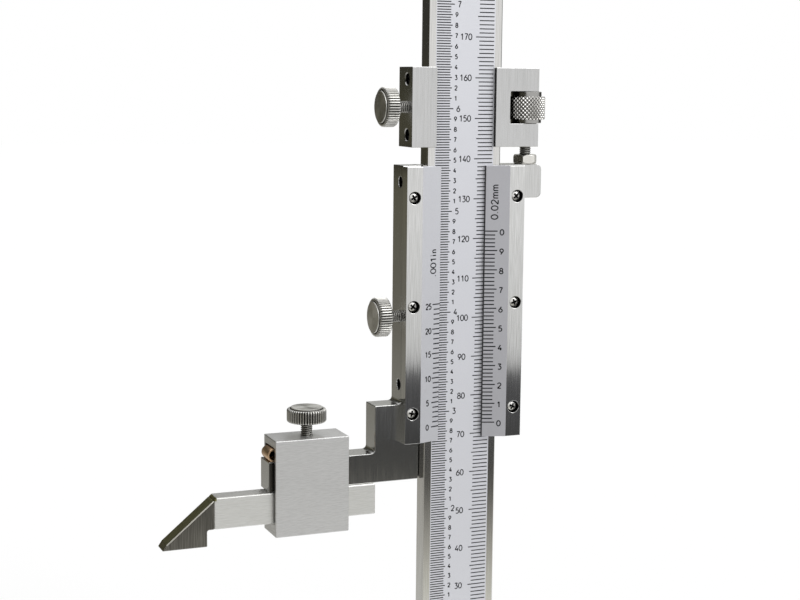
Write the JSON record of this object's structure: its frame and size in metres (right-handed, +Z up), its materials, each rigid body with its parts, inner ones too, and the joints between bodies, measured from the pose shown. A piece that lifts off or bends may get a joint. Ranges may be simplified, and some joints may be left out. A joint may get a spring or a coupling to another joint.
{
  "type": "vernier height gauge",
  "caption": "Vernier height gauge: graduated beam on a foot, slider with bevelled vernier plates, screw fine adjustment and a carbide scriber clamped on an arm.",
  "frame": {"origin": "on the sole of the foot, directly under the middle of the beam's scale face", "axes": "+X across the beam, away from the scriber; +Y away from the scale face, into the beam; +Z up along the beam"},
  "size_m": [0.1632, 0.072, 0.425],
  "materials": {
    "ground_steel": "ground",
    "satin_chrome": "satin, with black filled graduations",
    "black_steel": "blackened",
    "brushed_steel": "brushed stainless",
    "turned_steel": "turned and knurled",
    "copper": "dull rolled copper",
    "carbide": "ground carbide"
  },
  "bodies": {
    "stand": {"base": "ground_steel", "beam": "satin_chrome", "beam_clamp_screws": "black_steel"},
    "slider": {"slider_body": "brushed_steel", "inch_vernier_plate": "satin_chrome", "mm_vernier_plate": "satin_chrome", "vernier_plate_screws": "turned_steel", "slider_gib_screws": "turned_steel", "fine_adjust_rod": "turned_steel", "rod_lock_nut": "turned_steel"},
    "slider_strip": {"slider_gib": "turned_steel"},
    "slider_knob": {"slider_clamp_screw": "turned_steel"},
    "carriage": {"carriage_body": "brushed_steel", "carriage_gib_screws": "turned_steel"},
    "carriage_strip": {"carriage_gib": "turned_steel"},
    "carriage_knob": {"carriage_clamp_screw": "turned_steel"},
    "fine_nut": {"fine_adjust_nut": "turned_steel"},
    "clamp_box": {"scriber_clamp_box": "brushed_steel"},
    "shoe": {"clamp_shoe": "copper"},
    "clamp_knob": {"scriber_clamp_screw": "turned_steel"},
    "scriber": {"scriber_shank": "brushed_steel", "scriber_tip": "carbide"}
  },
  "joints": [
    {"name": "slider_slide", "type": "slide", "parent": "stand", "child": "slider", "axis": [0, 0, 1], "range_m": [-0.0729, 0.2271]},
    {"name": "fine_slide", "type": "slide", "parent": "slider", "child": "carriage", "axis": [0, 0, 1], "range_m": [-0.0018, 0.0045]},
    {"name": "fine_nut_turn", "type": "hinge", "parent": "carriage", "child": "fine_nut", "pos_m": [0.01795, 0.00215, 0.178], "axis": [0, 0, 1], "range_deg": [-1296, 3240]},
    {"name": "slider_strip_slide", "type": "slide", "parent": "slider", "child": "slider_strip", "axis": [1, 0, 0], "range_m": [-0.00025, 0]},
    {"name": "slider_knob_turn", "type": "hinge", "parent": "slider_strip", "child": "slider_knob", "pos_m": [-0.0164, 0.0017, 0.1264], "axis": [1, 0, 0], "range_deg": [-180, 0]},
    {"name": "carriage_strip_slide", "type": "slide", "parent": "carriage", "child": "carriage_strip", "axis": [1, 0, 0], "range_m": [-0.00025, 0]},
    {"name": "carriage_knob_turn", "type": "hinge", "parent": "carriage_strip", "child": "carriage_knob", "pos_m": [-0.01465, 0.00215, 0.17815], "axis": [1, 0, 0], "range_deg": [-180, 0]},
    {"name": "box_slide", "type": "slide", "parent": "slider", "child": "clamp_box", "axis": [1, 0, 0], "range_m": [-0.004, 0.007]},
    {"name": "shoe_lift", "type": "slide", "parent": "clamp_box", "child": "shoe", "axis": [0, 0, 1], "range_m": [0, 0.00025]},
    {"name": "clamp_knob_turn", "type": "hinge", "parent": "shoe", "child": "clamp_knob", "pos_m": [-0.0404, 0.00248, 0.0979], "axis": [0, 0, 1], "range_deg": [0, 180]},
    {"name": "scriber_slide", "type": "slide", "parent": "clamp_box", "child": "scriber", "axis": [1, 0, 0], "range_m": [-0.007, 0.0045]}
  ],
  "couplings": [
    {"joint": "fine_nut_turn", "follows": "fine_slide", "rad_per_m": 12566},
    {"joint": "slider_knob_turn", "follows": "slider_strip_slide", "rad_per_m": 12566},
    {"joint": "carriage_knob_turn", "follows": "carriage_strip_slide", "rad_per_m": 12566},
    {"joint": "clamp_knob_turn", "follows": "shoe_lift", "rad_per_m": 12566}
  ]
}
